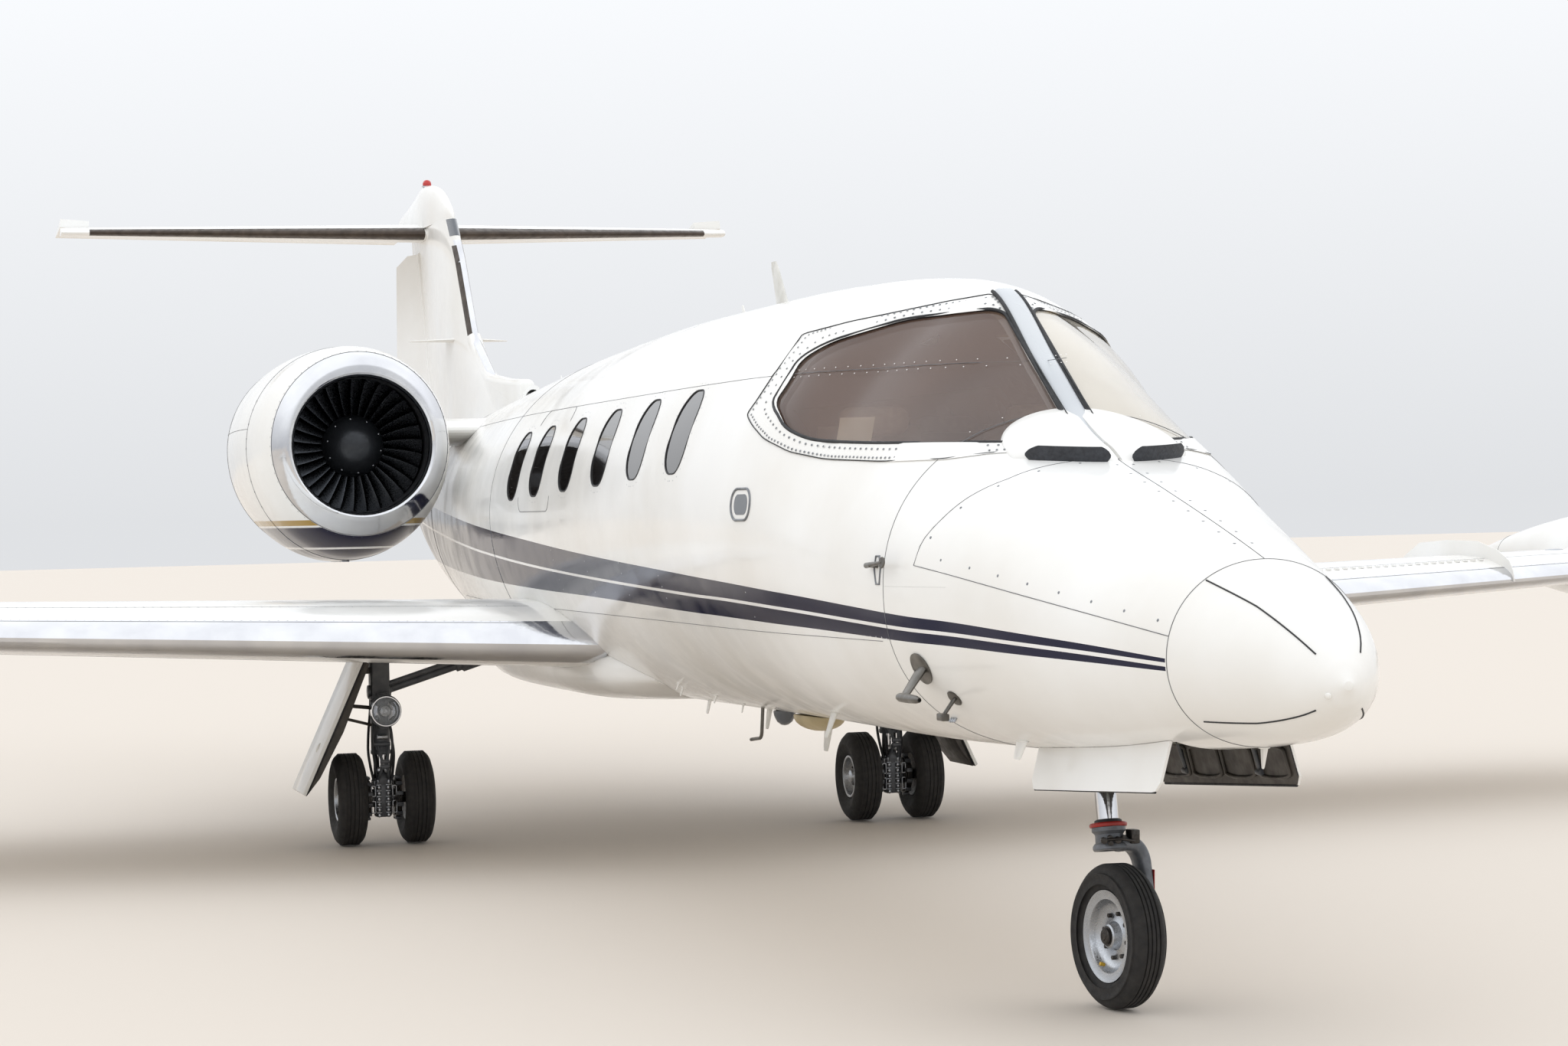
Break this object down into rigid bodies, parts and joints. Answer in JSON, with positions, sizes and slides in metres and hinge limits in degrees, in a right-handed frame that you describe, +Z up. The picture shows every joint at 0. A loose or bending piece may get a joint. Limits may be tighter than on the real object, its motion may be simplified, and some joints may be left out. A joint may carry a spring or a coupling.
{
  "type": "light business jet",
  "caption": "Light twin-engined business jet with tip tanks, T-tail, clamshell door and tricycle landing gear, parked with its gear down.",
  "frame": {"origin": "on the ground plane, midway along the length and on the centreline, which is the bottom centre of the bounding box", "axes": "+Z up, +Y aft along the fuselage with the nose towards -Y, +X to port"},
  "size_m": [12.04, 14.8302, 3.6864],
  "materials": {
    "white_paint": "glossy white paint on aluminium",
    "wing_skin": "glossy white paint on a light riveted skin",
    "tank_skin": "glossy white paint on an empty thin-walled tank",
    "fairing": "glossy white paint on glass-fibre",
    "tinted_glass": "brown tinted acrylic",
    "engine_metal": "dark heat-resistant metal",
    "fan_metal": "dark satin titanium",
    "gear_steel": "dark grey paint on steel",
    "wheel_alloy": "silver-painted alloy",
    "tyre_rubber": "black ribbed aircraft tyre",
    "carpet": "carpeted honeycomb floor board",
    "seat_leather": "tan upholstery",
    "panel_black": "matte black glareshield",
    "tail_skin": "glossy white paint on a light riveted skin"
  },
  "bodies": {
    "airframe": {"nose_cone": "white_paint", "nose_section": "white_paint", "avionics_rack": "engine_metal", "cabin_shell": "white_paint", "windshield_right": "tinted_glass", "windshield_left": "tinted_glass", "cabin_windows_right": "tinted_glass", "cabin_windows_left": "tinted_glass", "aft_fuselage": "white_paint", "fin": "tail_skin", "wing_left": "wing_skin", "wing_right": "wing_skin", "tip_tank_left": "tank_skin", "tip_tank_right": "tank_skin", "belly_fairing": "fairing", "nacelle_left": "white_paint", "nacelle_right": "white_paint", "pylon_left": "white_paint", "pylon_right": "white_paint", "engine_core_left": "engine_metal", "engine_core_right": "engine_metal", "nose_leg": "gear_steel", "nose_door_left": "white_paint", "nose_door_right": "white_paint", "main_leg_left": "gear_steel", "main_leg_right": "gear_steel", "main_door_left": "white_paint", "main_door_right": "white_paint", "cabin_floor": "carpet", "crew_seat_left": "seat_leather", "crew_seat_right": "seat_leather", "cabin_seat_left": "seat_leather", "cabin_seat_right": "seat_leather", "aft_divan": "seat_leather", "instrument_panel": "panel_black", "stabilizer": "tail_skin"},
    "door_upper": {"door_upper": "white_paint"},
    "door_lower": {"door_lower": "white_paint"},
    "rudder": {"rudder": "tail_skin"},
    "elevator_left": {"elevator_left": "tail_skin"},
    "elevator_right": {"elevator_right": "tail_skin"},
    "flap_left": {"flap_left": "wing_skin"},
    "flap_right": {"flap_right": "wing_skin"},
    "aileron_left": {"aileron_left": "wing_skin"},
    "aileron_right": {"aileron_right": "wing_skin"},
    "spoiler_left": {"spoiler_left": "wing_skin"},
    "spoiler_right": {"spoiler_right": "wing_skin"},
    "fan_left": {"fan_left": "fan_metal"},
    "fan_right": {"fan_right": "fan_metal"},
    "nose_fork": {"nose_fork": "gear_steel"},
    "nose_wheel": {"nose_wheel": "wheel_alloy", "nose_tyre": "tyre_rubber"},
    "main_wheels_left": {"main_wheels_left": "wheel_alloy", "main_tyre_left_inner": "tyre_rubber", "main_tyre_left_outer": "tyre_rubber"},
    "main_wheels_right": {"main_wheels_right": "wheel_alloy", "main_tyre_right_inner": "tyre_rubber", "main_tyre_right_outer": "tyre_rubber"}
  },
  "joints": [
    {"name": "nose_steering", "type": "hinge", "parent": "airframe", "child": "nose_fork", "pos_m": [0, -5.785, 0.219], "axis": [0, 0.1771, 0.9842], "range_deg": [-53, 37]},
    {"name": "nose_wheel_spin", "type": "hinge", "parent": "nose_fork", "child": "nose_wheel", "pos_m": [0, -5.785, 0.219], "axis": [0.9903, 0.137, -0.0246], "continuous": true},
    {"name": "main_wheels_left_spin", "type": "hinge", "parent": "airframe", "child": "main_wheels_left", "pos_m": [1.255, 0.365, 0.215], "axis": [1, 0, 0], "continuous": true},
    {"name": "main_wheels_right_spin", "type": "hinge", "parent": "airframe", "child": "main_wheels_right", "pos_m": [-1.255, 0.365, 0.215], "axis": [1, 0, 0], "continuous": true},
    {"name": "fan_left_spin", "type": "hinge", "parent": "airframe", "child": "fan_left", "pos_m": [1.215, 1.275, 1.89], "axis": [0, 1, 0], "continuous": true},
    {"name": "fan_right_spin", "type": "hinge", "parent": "airframe", "child": "fan_right", "pos_m": [-1.215, 1.275, 1.89], "axis": [0, 1, 0], "continuous": true},
    {"name": "door_upper_hinge", "type": "hinge", "parent": "airframe", "child": "door_upper", "pos_m": [0.516, -3.925, 2.126], "axis": [0, -1, 0], "range_deg": [0, 95]},
    {"name": "door_lower_hinge", "type": "hinge", "parent": "airframe", "child": "door_lower", "pos_m": [0.588, -3.925, 0.974], "axis": [0, 1, 0], "range_deg": [0, 120]},
    {"name": "rudder_hinge", "type": "hinge", "parent": "airframe", "child": "rudder", "pos_m": [0, 5.595, 1.99], "axis": [0, 0.3643, 0.9313], "range_deg": [-43, 7]},
    {"name": "elevator_left_hinge", "type": "hinge", "parent": "airframe", "child": "elevator_left", "pos_m": [0.066, 6.44726, 3.39216], "axis": [0.9377, 0.346, 0.0315], "range_deg": [0, 28]},
    {"name": "elevator_right_hinge", "type": "hinge", "parent": "airframe", "child": "elevator_right", "pos_m": [-0.066, 6.44726, 3.39216], "axis": [0.9377, -0.346, -0.0315], "range_deg": [0, 28]},
    {"name": "flap_left_hinge", "type": "hinge", "parent": "airframe", "child": "flap_left", "pos_m": [0.96, 0.59075, 0.98244], "axis": [-0.9916, -0.1244, -0.0353], "range_deg": [0, 40]},
    {"name": "flap_right_hinge", "type": "hinge", "parent": "airframe", "child": "flap_right", "pos_m": [-0.96, 0.59075, 0.98244], "axis": [-0.9916, 0.1244, 0.0353], "range_deg": [0, 40]},
    {"name": "aileron_left_hinge", "type": "hinge", "parent": "airframe", "child": "aileron_left", "pos_m": [3.146, 0.88564, 1.05903], "axis": [-0.9919, -0.1223, -0.0354], "range_deg": [-18, 18]},
    {"name": "aileron_right_hinge", "type": "hinge", "parent": "airframe", "child": "aileron_right", "pos_m": [-3.146, 0.88564, 1.05903], "axis": [-0.9919, 0.1223, 0.0354], "range_deg": [-18, 18]},
    {"name": "spoiler_left_hinge", "type": "hinge", "parent": "airframe", "child": "spoiler_left", "pos_m": [1.18, 0.17284, 1.12193], "axis": [0.9866, 0.1616, 0.0216], "range_deg": [0, 40]},
    {"name": "spoiler_right_hinge", "type": "hinge", "parent": "airframe", "child": "spoiler_right", "pos_m": [-1.18, 0.17284, 1.12193], "axis": [0.9866, -0.1616, -0.0216], "range_deg": [0, 40]}
  ],
  "couplings": [
    {"joint": "elevator_right_hinge", "follows": "elevator_left_hinge", "ratio": 1},
    {"joint": "flap_right_hinge", "follows": "flap_left_hinge", "ratio": 1},
    {"joint": "aileron_right_hinge", "follows": "aileron_left_hinge", "ratio": -1},
    {"joint": "spoiler_right_hinge", "follows": "spoiler_left_hinge", "ratio": 1}
  ]
}
